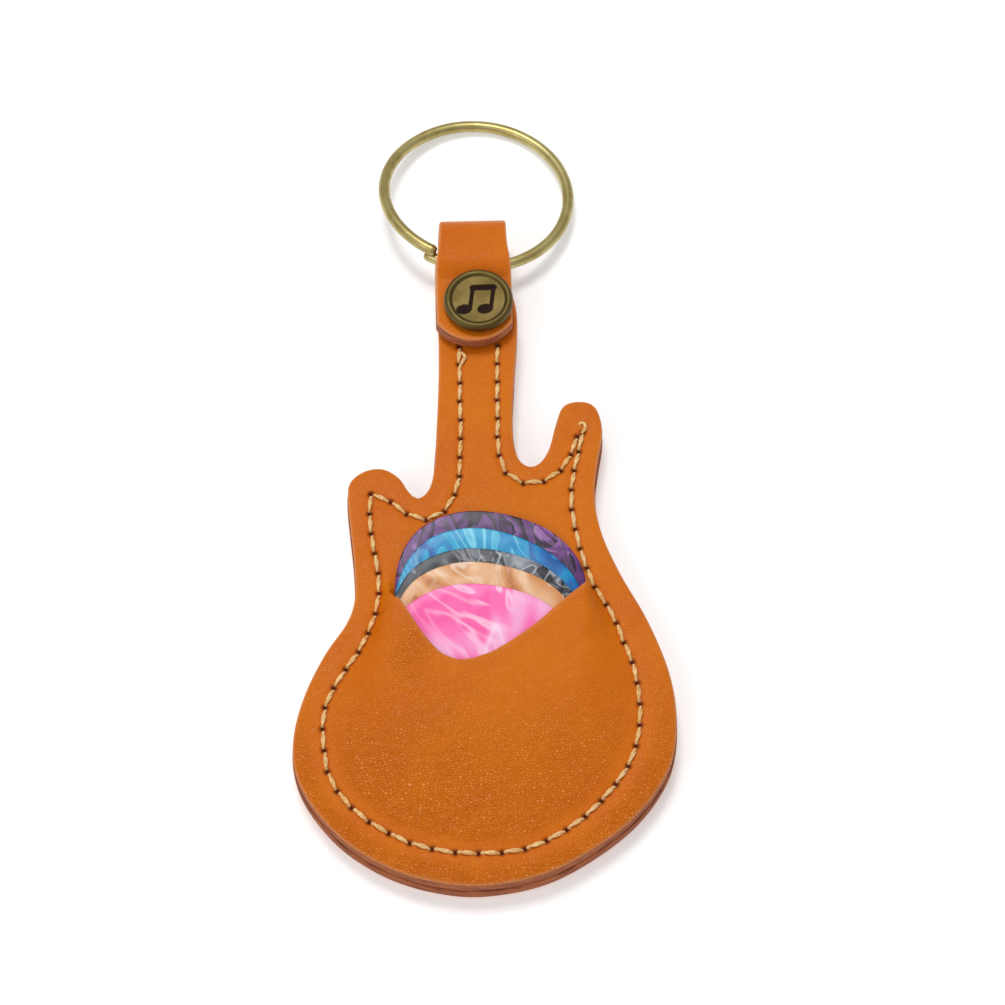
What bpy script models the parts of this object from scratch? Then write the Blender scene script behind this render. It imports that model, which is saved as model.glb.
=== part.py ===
"""A guitar-shaped leather pick holder with a snap strap, a wire key ring and five picks.

The holder lies on its back. X runs across it, Y from the bottom of the body to the ring, and Z up.
Sizes are in millimetres on the holder's own centre lines, with y = 0 at the bottom of the body, and
become metres when a mesh is made. Everything hangs from one empty, which puts the middle of the
object's footprint on the world's origin.
"""

import math

import bpy
import numpy as np
from mathutils import Matrix, Vector
from mathutils.geometry import delaunay_2d_cdt

MM = 0.001
FOOTPRINT_MIDDLE = (0.483, 59.749)

# Leather
LEATHER = 2.3
PLY_GAP = 0.3
BACK_TOP = LEATHER
FRONT_BOTTOM = BACK_TOP + PLY_GAP
FRONT_TOP = FRONT_BOTTOM + LEATHER
BACK_LIP = 0.25
OUTLINE_STEP = 1.7

# Thread, laid along the seam in stitches
THREAD_RADIUS = 0.22
THREAD_GAP = 0.05
SEAM_STEP = 3.0
GROOVE_DEPTH = 0.8
GROOVE_FLOOR = 0.5
GROOVE_MOUTH = 0.9

# Strap: the back leaf folds over at the loop and comes forward as the tab
LOOP = (0.4, 94.7)
LOOP_INSIDE_RADIUS = 2.3
LOOP_CENTRE_Z = BACK_TOP + LOOP_INSIDE_RADIUS
STRAP_HALF_WIDTH = 4.7
STRAP_HINGE = (0.4, 98.3, LOOP_CENTRE_Z)
JOIN_GAP = 0.15
TAB_END_RADIUS = 6.2
TAB_HALF_WIDTH = 5.2
TAB_END_Y = 78.5
TAB_LOW_Z = FRONT_TOP + 0.7
TAB_HIGH_Z = BACK_TOP + 2 * LOOP_INSIDE_RADIUS
TAB_SLOPE_Y = (88.3, 91.5)

# Snap fastener
SNAP = (0.98, 84.2)
CAP_RADIUS = 4.8
CAP_ROLL = 0.85
CAP_SEAT_Z = TAB_LOW_Z + LEATHER + 0.15
DISH_RADIUS = 2.9
DISH_DEPTH = 0.4
EMBLEM_DEPTH = 0.25
POST_RADIUS = 1.3
SOCKET_RADIUS = 3.9
SOCKET_Z = (5.1, 6.2)
SOCKET_CAVITY = 2.6
SOCKET_ROOF = 0.25
STUD_HEAD_RADIUS = 1.8
EYELET_RADIUS = 0.95
EYELET_FLANGE = 3.4
ROUND_STEPS = 36

# Key ring: one turn of wire whose ends pass each other beside the loop
WIRE_RADIUS = 0.75
RING_RADIUS = 13.5
RING_HINGE = (0.4, 92.3, LOOP_CENTRE_Z)
RING_PITCH = math.radians(-7.9)
RING_ROLL = math.radians(3.0)
RING_YAW = math.radians(-2.8)
RING_LOWER_END = math.radians(-31)
RING_UPPER_END = math.radians(335.5)
RING_CLIMB = (math.radians(210), math.radians(318))
RING_LIFT = 1.62

# Picks, rear one first: how far the top is across and up, and how far the pick turns
PICK_LENGTH = 29.5
PICK_THICK = 0.42
PICK_PITCH = 0.5
PICK_TILT = math.radians(6.3)
PICK_SEAT_Y = 23.0
PICK_SEAT_Z = 2.5
PICK_STEP = 1.8
PICKS = {
    "pick_purple": (4.4, 52.0, -15, (0.10, 0.035, 0.14)),
    "pick_cyan": (5.8, 48.5, -23.5, (0.02, 0.33, 0.55)),
    "pick_grey": (3.6, 46.3, -14, (0.05, 0.05, 0.06)),
    "pick_tan": (3.7, 44.1, -15, (0.72, 0.47, 0.27)),
    "pick_pink": (2.5, 41.1, -11, (0.95, 0.22, 0.48)),
}
POCKET_CLEARANCE = 0.1
SLIT_HALF_GAP = 0.15

# Half of a pick's edge, from the middle of its top to its tip
PICK_HALF = [
    (0, 0), (4.6, -0.5), (8.2, -2), (11.1, -4.5), (12.5, -7.4), (12.9, -10.6),
    (12.3, -14.7), (10.3, -19.4), (7.5, -23.8), (4.4, -27.6), (2.2, -29.1),
]

# The body's edge from the left of the neck down round the body to the right of the neck
BODY_EDGE = [
    (-4.9, 73.8), (-5.3, 66), (-5.7, 60), (-6.5, 56.8), (-8, 55.5), (-9.3, 56.6),
    (-10.6, 58.7), (-12.8, 60.1), (-15.4, 59.8), (-17.4, 58), (-17.6, 55), (-17.2, 50.5),
    (-16.7, 45), (-16.7, 40.5), (-17.8, 37), (-20.6, 32.7), (-23.2, 27.2), (-24.7, 21.5),
    (-24.6, 16.5), (-22.6, 11.8), (-18.5, 6.8), (-13, 3), (-7, 0.8), (-0.5, 0),
    (7.5, 1.3), (14.5, 4.8), (20.5, 9.6), (24.6, 15.6), (25.8, 22), (25.2, 28.8),
    (22.7, 36.4), (19.3, 43.5), (17, 49.8), (16.3, 55.5), (17, 60.8), (17.8, 65.3),
    (17, 69), (14.9, 70), (12.5, 69.3), (11.3, 66.3), (10.3, 62.7), (8.9, 60.5),
    (7.4, 60), (6, 61.3), (5.4, 64.3), (5.4, 68.8), (5.8, 74.5),
]
NECK_TOP = [
    (6.3, 80), (6.4, 84.5), (5.7, 87.7), (3.6, 90.4), (0.9, 91.3), (-1.8, 90.4),
    (-4, 87.7), (-4.8, 84), (-4.8, 79.4),
]
STRAP_LEFT = [(-4.3, 94.55), (-4.4, 91), (-4.7, 86), (-4.8, 79.4)]
STRAP_RIGHT = [(6.1, 80), (6.1, 84), (5.5, 88.5), (5.15, 92), (5.1, 94.55)]

# The seam in three runs: neck to left horn, left horn round to right horn, right horn to neck
SEAM_NECK_LEFT = [
    (-1.9, 75.2), (-1.9, 66), (-2.1, 60.3), (-2.6, 56.4), (-4.4, 53.2), (-6.2, 52.1),
    (-8, 52.1), (-10.2, 53.4), (-12, 55.1), (-14.4, 56.2),
]
SEAM_BODY = [
    (-14.4, 56.2), (-14.6, 52.4), (-14.2, 48), (-13.4, 43.5), (-13.6, 39.9), (-15, 34.9),
    (-17.8, 30.3), (-20.3, 25.7), (-20.9, 21), (-20, 15.2), (-17, 10.7), (-11.5, 6.8),
    (-5.6, 4.8), (0.5, 4.2), (6, 4.9), (11.4, 7.6), (16.5, 12.1), (19.9, 17.4),
    (21.1, 23.5), (20.4, 29.5), (18, 36), (15.6, 41.4), (14.2, 46.2), (13.2, 51.5),
    (13.2, 56.3), (13.8, 59.8), (14.7, 63), (15.2, 65.6),
]
SEAM_NECK_RIGHT = [
    (13.9, 63.7), (13.2, 61.4), (12, 59.4), (10, 57.8), (7.8, 57.2), (5.2, 58),
    (3.6, 60.4), (3.2, 64.5), (3.3, 70), (3.5, 78.6),
]

# The pocket's mouth, from its left end by the waist to its right end
MOUTH = [
    (-12, 41.4), (-10.8, 39.6), (-9.6, 37.6), (-7.2, 34), (-5.2, 31.5), (-3.6, 30.5), (-2.2, 30.2),
    (-0.6, 30.6), (3, 32.3), (8, 35.5), (12, 38.8), (14.8, 41),
]
# The pocket's inside below its mouth, from the right end round the picks' tips to the left end
POCKET_INSIDE = [
    (14.8, 37.5), (14.3, 30), (12.1, 23.5), (7.8, 16.4), (2.4, 10.8), (-2.6, 9.8),
    (-6.4, 12.2), (-10, 17.8), (-12, 24), (-12.7, 30), (-12.4, 35.4), (-12.3, 39),
]
SEAT_TOP = [(14.6, 44), (13.4, 47.5), (-11, 47.5), (-12.6, 45.2)]
DOME_EDGE_GAP = 0.5
DOME_SIDE = 0.4
DOME_WALL = 0.9
DOME_STEP = 2.4


def smooth(points, closed=False, step=OUTLINE_STEP):
    """Points along a Catmull-Rom curve through the given points, about one step apart."""
    given = [np.array(p, float) for p in points]
    count = len(given)
    if closed:
        around = [given[-1], *given, given[0], given[1]]
    else:
        around = [2 * given[0] - given[1], *given, 2 * given[-1] - given[-2]]
    out = []
    for i in range(count if closed else count - 1):
        a, b, c, d = around[i : i + 4]
        steps = max(1, round(float(np.linalg.norm(c - b)) / step))
        for s in range(steps):
            t = s / steps
            out.append(
                0.5 * (2 * b + (c - a) * t + (2 * a - 5 * b + 4 * c - d) * t**2
                       + (3 * b - a - 3 * c + d) * t**3)
            )
    if not closed:
        out.append(given[-1])
    return [tuple(p) for p in out]


def ease(t):
    """A smooth step from 0 to 1."""
    t = min(max(t, 0.0), 1.0)
    return t * t * (3 - 2 * t)


def distance_to(line):
    """A function of x and y: how far a point is from an open line."""
    points = np.array(line, float)
    start, along = points[:-1], np.diff(points, axis=0)
    square = (along**2).sum(axis=1)

    def distance(x, y):
        offset = np.array([x, y]) - start
        t = np.clip((offset * along).sum(axis=1) / square, 0, 1)
        return float(np.linalg.norm(offset - along * t[:, None], axis=1).min())

    return distance


def beside(line, shift):
    """The line moved sideways to its left by shift."""
    points = np.array(line, float)
    along = np.gradient(points, axis=0)
    along /= np.linalg.norm(along, axis=1)[:, None]
    return [tuple(p) for p in points + shift * np.stack([-along[:, 1], along[:, 0]], axis=1)]


def grown(loop, shift):
    """A counter-clockwise loop moved outwards by shift."""
    points = np.array(loop, float)
    along = np.roll(points, -1, axis=0) - np.roll(points, 1, axis=0)
    along /= np.linalg.norm(along, axis=1)[:, None]
    return [tuple(p) for p in points + shift * np.stack([along[:, 1], -along[:, 0]], axis=1)]


def is_inside(loop, x, y):
    points = np.array(loop, float)
    after = np.roll(points, -1, axis=0)
    spans = (points[:, 1] > y) != (after[:, 1] > y)
    a, b = points[spans], after[spans]
    crossings = a[:, 0] + (y - a[:, 1]) * (b[:, 0] - a[:, 0]) / (b[:, 1] - a[:, 1])
    return bool((crossings > x).sum() % 2)


def material(name, colour, roughness, metallic=0.0):
    made = bpy.data.materials.get(name)
    if made is None:
        made = bpy.data.materials.new(name)
        made.use_nodes = True
        shader = made.node_tree.nodes["Principled BSDF"]
        shader.inputs["Base Color"].default_value = (*colour, 1)
        shader.inputs["Roughness"].default_value = roughness
        shader.inputs["Metallic"].default_value = metallic
    return made


def tan_leather():
    return material("tan_leather", (0.60, 0.16, 0.012), 0.55)


def waxed_thread():
    return material("waxed_thread", (0.74, 0.46, 0.16), 0.7)


def antique_brass():
    return material("antique_brass", (0.27, 0.20, 0.07), 0.35, 1.0)


def spring_steel():
    return material("spring_steel", (0.5, 0.5, 0.5), 0.3, 1.0)


def place(made, finish, origin=(0, 0, 0)):
    """Adds an object under the holder's empty, with its origin at a point in millimetres."""
    made.data.materials.append(finish)
    made.location = Vector(origin) * MM
    made.parent = bpy.data.objects["pick_holder"]
    bpy.context.scene.collection.objects.link(made)
    return made


def solid(name, points, faces, finish, origin=(0, 0, 0)):
    """An object from points in millimetres, whose mesh is measured from its origin."""
    mesh = bpy.data.meshes.new(name)
    mesh.from_pydata([(Vector(p) - Vector(origin)) * MM for p in points], [], faces)
    mesh.shade_smooth()
    mesh.set_sharp_from_angle(angle=math.radians(35))
    return place(bpy.data.objects.new(name, mesh), finish, origin)


def sheet(name, loop, bottom, top, finish, creases=(), fill=None, origin=(0, 0, 0)):
    """A closed plate inside a loop, between two heights that are functions of x and y."""
    points = list(loop)
    edges = [(i, (i + 1) % len(loop)) for i in range(len(loop))]
    for line in creases:
        edges += [(len(points) + i, len(points) + i + 1) for i in range(len(line) - 1)]
        points += line
    if fill:
        low, high = np.min(loop, axis=0), np.max(loop, axis=0)
        near_edge = distance_to([*loop, loop[0]])
        for x in np.arange(low[0] + fill / 2, high[0], fill):
            for y in np.arange(low[1] + fill / 2, high[1], fill):
                if is_inside(loop, x, y) and near_edge(x, y) > fill / 2:
                    points.append((x, y))
    flat, _, triangles, *_ = delaunay_2d_cdt(
        [Vector((float(x), float(y))) for x, y in points], edges, [], 0, 1e-4
    )
    kept = []
    for triangle in triangles:
        a, b, c = (flat[i] for i in triangle)
        middle = (a + b + c) / 3
        if is_inside(loop, middle.x, middle.y):
            facing_up = (b - a).cross(c - a) > 0
            kept.append(tuple(triangle) if facing_up else tuple(reversed(triangle)))
    used = sorted({i for triangle in kept for i in triangle})
    index = {old: new for new, old in enumerate(used)}
    kept = [tuple(index[i] for i in triangle) for triangle in kept]
    count = len(used)
    corners = [(flat[i].x, flat[i].y, top(flat[i].x, flat[i].y)) for i in used]
    corners += [(flat[i].x, flat[i].y, bottom(flat[i].x, flat[i].y)) for i in used]
    directed = {(t[i], t[(i + 1) % 3]) for t in kept for i in range(3)}
    rim = [(a, b) for a, b in directed if (b, a) not in directed]
    faces = kept + [tuple(i + count for i in reversed(t)) for t in kept]
    faces += [(a, a + count, b + count, b) for a, b in sorted(rim)]
    return solid(name, corners, faces, finish, origin)


def level(height):
    return lambda x, y: height


def turned(name, profile, centre, finish, origin=(0, 0, 0), closed=False):
    """A profile of (radius, height) turned about an upright axis. A closed profile makes a ring."""
    points, rows = [], []
    for radius, height in profile:
        if radius == 0:
            rows.append([len(points)] * ROUND_STEPS)
            points.append((*centre, height))
            continue
        rows.append(list(range(len(points), len(points) + ROUND_STEPS)))
        for step in range(ROUND_STEPS):
            angle = math.tau * step / ROUND_STEPS
            points.append((centre[0] + radius * math.cos(angle),
                           centre[1] + radius * math.sin(angle), height))
    pairs = list(zip(rows, rows[1:] + rows[:1]))
    faces = []
    for low, high in pairs if closed else pairs[:-1]:
        for i in range(ROUND_STEPS):
            j = (i + 1) % ROUND_STEPS
            ring = list(dict.fromkeys([low[i], low[j], high[j], high[i]]))
            if len(ring) > 2:
                faces.append(tuple(ring))
    return solid(name, points, faces, finish, origin)


def tube(name, points, radius, finish, origin=(0, 0, 0), sides=6):
    """A round wire or thread along points in millimetres, with closed ends."""
    curve = bpy.data.curves.new(name, "CURVE")
    curve.dimensions = "3D"
    curve.bevel_depth = radius * MM
    curve.bevel_resolution = sides // 2 - 2
    curve.use_fill_caps = True
    spline = curve.splines.new("POLY")
    spline.points.add(len(points) - 1)
    for target, point in zip(spline.points, points):
        target.co = (*((Vector(point) - Vector(origin)) * MM), 1)
    return place(bpy.data.objects.new(name, curve), finish, origin)


def cut(target, tool, operation="DIFFERENCE"):
    """Cuts the target with a tool, or joins the tool to it, and marks the tool as a guide."""
    tool.hide_render = True
    tool.display_type = "WIRE"
    boolean = target.modifiers.new(tool.name, "BOOLEAN")
    boolean.operation = operation
    boolean.solver = "EXACT"
    boolean.object = tool


def drill(target, radius, low, high, centre=SNAP):
    """A round hole through the target between two heights."""
    name = f"drill_{target.name}_{radius:.2f}"
    profile = [(0, low), (radius, low), (radius, high), (0, high)]
    cut(target, turned(name, profile, centre, target.data.materials[0]))


def seam_runs():
    return [smooth(run, step=SEAM_STEP) for run in (SEAM_NECK_LEFT, SEAM_BODY, SEAM_NECK_RIGHT)]


def pick_plane(layer):
    """The height of a pick's lower face as a function of x and y."""
    rise = math.tan(PICK_TILT)
    lift = layer * PICK_PITCH / math.cos(PICK_TILT)
    return lambda x, y: PICK_SEAT_Z + lift + (y - PICK_SEAT_Y) * rise


def back_panel():
    """The back leather with the strap's back leaf, and a groove underneath for the thread."""
    strap_left, strap_right = smooth(STRAP_LEFT), smooth(STRAP_RIGHT)
    body = grown(smooth(BODY_EDGE), BACK_LIP)
    loop = strap_left[:-1] + body + strap_right[1:]
    runs = seam_runs()
    nearness = [distance_to(run) for run in runs]

    def underside(x, y):
        away = min(near(x, y) for near in nearness)
        return GROOVE_DEPTH * min(max((GROOVE_MOUTH - away) / (GROOVE_MOUTH - GROOVE_FLOOR), 0), 1)

    creases = [
        beside(run, side * width)
        for run in runs
        for side in (-1, 1)
        for width in (GROOVE_FLOOR, GROOVE_MOUTH)
    ]
    panel = sheet("back_panel", loop, underside, level(BACK_TOP), tan_leather(), creases)
    drill(panel, EYELET_RADIUS + 0.15, -1, BACK_TOP + 1)
    drill(panel, EYELET_FLANGE + 0.2, -1, 0.55)


def pocket_ceiling(x, y):
    """The top of the room for the picks under the front leather."""
    return pick_plane(len(PICKS) - 1)(x, y) + PICK_THICK / math.cos(PICK_TILT) + POCKET_CLEARANCE


def pocket_loop():
    """The pocket below its mouth, counter-clockwise from the mouth's right end."""
    mouth = smooth(MOUTH)
    inside = smooth([mouth[-1], *POCKET_INSIDE, mouth[0]])[1:-1]
    return [(x, y + SLIT_HALF_GAP) for x, y in reversed(mouth)], list(reversed(inside))


def pocket_dome():
    """What the picks raise of the front leather, between the seam and the pocket's mouth."""
    seam = smooth(SEAM_BODY, step=SEAM_STEP)
    near_seam = distance_to(seam)
    lip, inside = pocket_loop()
    room_loop = grown(lip + inside, DOME_SIDE)
    near_room = distance_to([*room_loop, room_loop[0]])
    edge = [p for p in beside(seam, DOME_EDGE_GAP) if p[1] < 40.2]
    loop = [*edge, *reversed(smooth(MOUTH))]

    def crown(x, y):
        rise = max(pocket_ceiling(x, y) + DOME_WALL - FRONT_TOP, 0)
        outside = 0 if is_inside(room_loop, x, y) else near_room(x, y)
        room = max(near_seam(x, y) - DOME_EDGE_GAP, 0.01)
        return FRONT_TOP - 0.05 + rise * ease(room / (room + outside))

    creases = [room_loop[len(lip):]]
    return sheet(
        "pocket_dome", loop, level(FRONT_TOP - 0.7), crown, tan_leather(), creases, DOME_STEP
    )


def front_panel():
    """The front leather: a flat guitar shape, raised over the picks and slit along the mouth."""
    loop = smooth(BODY_EDGE + NECK_TOP, closed=True)
    panel = sheet("front_panel", loop, level(FRONT_BOTTOM), level(FRONT_TOP), tan_leather())
    cut(panel, pocket_dome(), "UNION")
    lip, inside = pocket_loop()
    cut(panel, sheet("pocket_cutter", lip + inside, level(BACK_TOP), pocket_ceiling, tan_leather()))
    rear_pick = pick_plane(0)
    ledge = [(x, y - SLIT_HALF_GAP) for x, y in smooth(MOUTH)]
    seat = sheet(
        "seat_cutter", ledge + SEAT_TOP, lambda x, y: rear_pick(x, y) - SLIT_HALF_GAP,
        level(FRONT_TOP + 5), tan_leather(),
    )
    cut(panel, seat)
    drill(panel, EYELET_RADIUS + 0.15, FRONT_BOTTOM - 1, FRONT_TOP + 1)
    drill(panel, EYELET_FLANGE + 0.1, FRONT_TOP - 0.35, FRONT_TOP + 1)


def strap():
    """The strap's fold, a half round at the loop, and its tab, which opens about the fold."""
    steps = 14
    points = []
    for step in range(steps + 1):
        angle = math.radians(-88 + 176 * step / steps)
        for x in (LOOP[0] + STRAP_HALF_WIDTH, LOOP[0] - STRAP_HALF_WIDTH):
            for radius in (LOOP_INSIDE_RADIUS, LOOP_INSIDE_RADIUS + LEATHER):
                points.append((x, LOOP[1] + radius * math.cos(angle),
                               LOOP_CENTRE_Z + radius * math.sin(angle)))
    faces = [(0, 2, 3, 1)]
    for step in range(steps):
        a = 4 * step
        b = a + 4
        faces += [(a, b, b + 2, a + 2), (a + 3, b + 3, b + 1, a + 1),
                  (a + 1, b + 1, b, a), (a + 2, b + 2, b + 3, a + 3)]
    last = 4 * steps
    faces.append((last + 1, last + 3, last + 2, last))
    solid("strap_bend", points, faces, tan_leather(), STRAP_HINGE)

    start_y = LOOP[1] - JOIN_GAP
    end_centre = TAB_END_Y + TAB_END_RADIUS
    reach = math.degrees(math.asin(TAB_HALF_WIDTH / TAB_END_RADIUS))
    end = [
        (LOOP[0] + TAB_END_RADIUS * math.sin(math.radians(a)),
         end_centre - TAB_END_RADIUS * math.cos(math.radians(a)))
        for a in np.linspace(-reach, reach, 13)
    ]
    loop = [
        (LOOP[0] - STRAP_HALF_WIDTH, start_y), (LOOP[0] - TAB_HALF_WIDTH, 90), *end,
        (LOOP[0] + TAB_HALF_WIDTH, 90), (LOOP[0] + STRAP_HALF_WIDTH, start_y),
    ]
    low_y, high_y = TAB_SLOPE_Y

    def underside(x, y):
        return TAB_LOW_Z + (TAB_HIGH_Z - TAB_LOW_Z) * ease((y - low_y) / (high_y - low_y))

    left, right = LOOP[0] - TAB_HALF_WIDTH, LOOP[0] + TAB_HALF_WIDTH
    creases = [[(left + 0.6, y), (right - 0.6, y)] for y in np.linspace(low_y, high_y, 5)]
    tab = sheet("strap_tab", loop, underside, lambda x, y: underside(x, y) + LEATHER,
                tan_leather(), creases, origin=STRAP_HINGE)
    drill(tab, POST_RADIUS + 0.15, TAB_LOW_Z - 1, TAB_HIGH_Z + LEATHER)
    drill(tab, SOCKET_RADIUS + 0.2, TAB_LOW_Z - 1, SOCKET_Z[1] + 0.15)


def emblem():
    """Two plain notes joined by a beam, sunk in the cap's dish."""
    floor = level(CAP_SEAT_Z + 2 * CAP_ROLL - DISH_DEPTH - EMBLEM_DEPTH)
    shapes = {
        "emblem_beam": [
            (-0.85, -1.35), (-0.57, -1.35), (-0.57, 1.05), (1.5, 1.35), (1.5, -1.05), (1.78, -1.05),
            (1.78, 1.95), (-0.85, 1.6),
        ],
    }
    for name, x, y in (("emblem_left_head", -1.4, -1.35), ("emblem_right_head", 0.95, -1.05)):
        shapes[name] = [
            (x + 0.85 * math.cos(a) - 0.18 * math.sin(a), y + 0.6 * math.sin(a) + 0.3 * math.cos(a))
            for a in np.linspace(0, math.tau, 20, endpoint=False)
        ]
    finish = antique_brass()
    parts = []
    for name, shape in shapes.items():
        loop = [(SNAP[0] + x, SNAP[1] + y) for x, y in shape]
        parts.append(sheet(name, loop, floor, level(CAP_SEAT_Z + 3), finish))
    return parts


def snap():
    """The snap fastener: cap, socket and spring on the tab, stud and eyelet on the neck."""
    brass = antique_brass()
    roll_centre = CAP_RADIUS - CAP_ROLL
    rim_top = CAP_SEAT_Z + 2 * CAP_ROLL
    roll = [
        (roll_centre + CAP_ROLL * math.cos(math.radians(a)),
         CAP_SEAT_Z + CAP_ROLL + CAP_ROLL * math.sin(math.radians(a)))
        for a in range(-90, 136, 25)
    ]
    cap_profile = [
        (0, 5.7), (2, 5.7), (2, 5.8), (POST_RADIUS, 5.9), (POST_RADIUS, CAP_SEAT_Z), *roll,
        (DISH_RADIUS, rim_top - DISH_DEPTH), (0, rim_top - DISH_DEPTH),
    ]
    cap = turned("snap_cap", cap_profile, SNAP, brass, STRAP_HINGE)
    for part in emblem():
        cut(cap, part)

    low, high = SOCKET_Z
    roof = high - SOCKET_ROOF
    socket_profile = [
        (SOCKET_CAVITY, low), (SOCKET_RADIUS - 0.3, low), (SOCKET_RADIUS, low + 0.3),
        (SOCKET_RADIUS, high), (POST_RADIUS + 0.15, high), (POST_RADIUS + 0.15, roof),
        (SOCKET_CAVITY, roof),
    ]
    turned("snap_socket", socket_profile, SNAP, brass, STRAP_HINGE, closed=True)
    spring = [
        (SNAP[0] + 2.2 * math.cos(a), SNAP[1] + 2.2 * math.sin(a), 5.35)
        for a in np.linspace(math.radians(20), math.radians(340), 25)
    ]
    tube("snap_spring", spring, 0.16, spring_steel(), STRAP_HINGE)

    stud_profile = [
        (EYELET_RADIUS + 0.15, FRONT_TOP - 0.25), (EYELET_FLANGE - 0.1, FRONT_TOP - 0.25),
        (EYELET_FLANGE - 0.1, FRONT_TOP), (1.5, FRONT_TOP + 0.05), (1.5, FRONT_TOP + 0.25),
        (STUD_HEAD_RADIUS, FRONT_TOP + 0.35), (STUD_HEAD_RADIUS, FRONT_TOP + 0.5),
        (1.55, FRONT_TOP + 0.65), (1.45, FRONT_TOP + 0.65), (EYELET_RADIUS + 0.15, FRONT_TOP + 0.4),
    ]
    turned("snap_stud", stud_profile, SNAP, brass, closed=True)
    eyelet_profile = [
        (0.55, 0.1), (EYELET_FLANGE - 0.3, 0.1), (EYELET_FLANGE, 0.25), (EYELET_FLANGE, 0.4),
        (EYELET_RADIUS, 0.4), (EYELET_RADIUS, FRONT_TOP + 0.4), (1.2, FRONT_TOP + 0.6),
        (0.8, FRONT_TOP + 0.6), (0.55, FRONT_TOP + 0.35),
    ]
    turned("snap_eyelet", eyelet_profile, SNAP, brass, closed=True)


def key_ring():
    """One turn of wire, hinged where it passes through the strap's loop."""
    turn = Matrix.Rotation(RING_YAW, 3, "Z") @ Matrix.Rotation(RING_PITCH, 3, "X")
    turn = turn @ Matrix.Rotation(RING_ROLL, 3, "Y")
    climb_start, climb_end = RING_CLIMB
    points = []
    for angle in np.linspace(RING_LOWER_END, RING_UPPER_END, 80):
        lift = RING_LIFT * ease((angle - climb_start) / (climb_end - climb_start))
        flat = (RING_RADIUS * math.sin(angle), RING_RADIUS * (1 - math.cos(angle)), lift)
        points.append(tuple(Vector(RING_HINGE) + turn @ Vector(flat)))
    tube("key_ring", points, WIRE_RADIUS, antique_brass(), RING_HINGE, sides=10)


def picks():
    """Five rounded-triangle picks, each turned in its own tilted plane."""
    left = [(-x, y) for x, y in reversed(PICK_HALF[1:])]
    edge = smooth([(0, -PICK_LENGTH), *reversed(PICK_HALF[1:]), (0, 0), *reversed(left)],
                  closed=True, step=PICK_STEP)
    for layer, (name, (x, y, turn, colour)) in enumerate(PICKS.items()):
        finish = material(name, colour, 0.2)
        pick = sheet(name, edge, level(0), level(PICK_THICK), finish)
        pick.rotation_mode = "ZYX"
        pick.rotation_euler = (PICK_TILT, 0, math.radians(turn))
        pick.location = Vector((x, y, pick_plane(layer)(x, y))) * MM


def threads():
    """The top thread on the front leather and the under thread in the back leather's groove."""
    neck_left, body, neck_right = seam_runs()
    heights = {
        "front": FRONT_TOP + THREAD_GAP + THREAD_RADIUS,
        "back": GROOVE_DEPTH - 0.15 - THREAD_RADIUS,
    }
    finish = waxed_thread()
    for side, z in heights.items():
        tube(f"{side}_thread_body", [(*p, z) for p in neck_left + body[1:]], THREAD_RADIUS, finish)
        tube(f"{side}_thread_neck", [(*p, z) for p in neck_right], THREAD_RADIUS, finish)
    z = heights["front"]
    ends = {
        "thread_end_neck": [(-1.9, 75.8), (-1.4, 76.6), (-1.1, 77.3), (-1.6, 77.9), (-2.3, 77.7)],
        "thread_end_horn": [(15.5, 66.3), (15.9, 66.9), (15.7, 67.6), (15, 67.7)],
    }
    for name, points in ends.items():
        tube(name, [(*p, z) for p in smooth(points, step=0.4)], THREAD_RADIUS, finish)


def main():
    for old in list(bpy.data.objects):
        bpy.data.objects.remove(old, do_unlink=True)
    holder = bpy.data.objects.new("pick_holder", None)
    holder.location = (-FOOTPRINT_MIDDLE[0] * MM, -FOOTPRINT_MIDDLE[1] * MM, 0)
    bpy.context.scene.collection.objects.link(holder)
    back_panel()
    front_panel()
    strap()
    snap()
    key_ring()
    picks()
    threads()


main()
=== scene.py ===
"""Looks for the guitar-shaped leather pick holder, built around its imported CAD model.

Sizes are in millimetres on the holder's own centre lines, with y = 0 at the bottom of the body.
"""

import math
import random

import bpy
import numpy as np
from mathutils import Matrix, Vector
from mathutils.geometry import delaunay_2d_cdt


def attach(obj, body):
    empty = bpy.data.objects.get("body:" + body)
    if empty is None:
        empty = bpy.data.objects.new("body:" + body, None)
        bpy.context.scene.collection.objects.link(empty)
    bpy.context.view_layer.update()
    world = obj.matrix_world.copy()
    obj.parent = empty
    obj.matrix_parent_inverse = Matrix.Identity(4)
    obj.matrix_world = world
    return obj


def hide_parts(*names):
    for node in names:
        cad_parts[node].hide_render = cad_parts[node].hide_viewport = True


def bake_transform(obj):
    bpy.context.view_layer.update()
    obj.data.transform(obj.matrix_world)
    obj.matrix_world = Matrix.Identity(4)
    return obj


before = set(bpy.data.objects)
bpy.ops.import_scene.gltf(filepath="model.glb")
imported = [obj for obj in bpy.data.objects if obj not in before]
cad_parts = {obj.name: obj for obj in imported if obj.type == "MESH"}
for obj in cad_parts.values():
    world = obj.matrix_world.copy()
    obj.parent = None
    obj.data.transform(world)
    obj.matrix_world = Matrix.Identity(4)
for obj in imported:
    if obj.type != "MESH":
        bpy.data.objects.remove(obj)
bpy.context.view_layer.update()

MM = 0.001
# The frame's origin, seen from above, on the holder's centre lines
MIDDLE = (0.483, 59.749)

# Leather
LEATHER = 2.3
BACK_TOP = 2.38
FRONT_BOTTOM = 2.46
FRONT_TOP = 4.9
BACK_LIP = 0.2
ROUND = 0.4
THINNEST = 0.35
SEAM_PRESS = 0.14
SEAM_GROOVE = 0.55
HOLE_DEPTH = 0.35
MOUTH_SLIT = 0.05
MOUTH_ROUND = 0.16
FLAP_BLEND = 0.9
FLAP_OVER_PICKS = 0.9
UNDER_PICKS = 0.06

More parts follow.
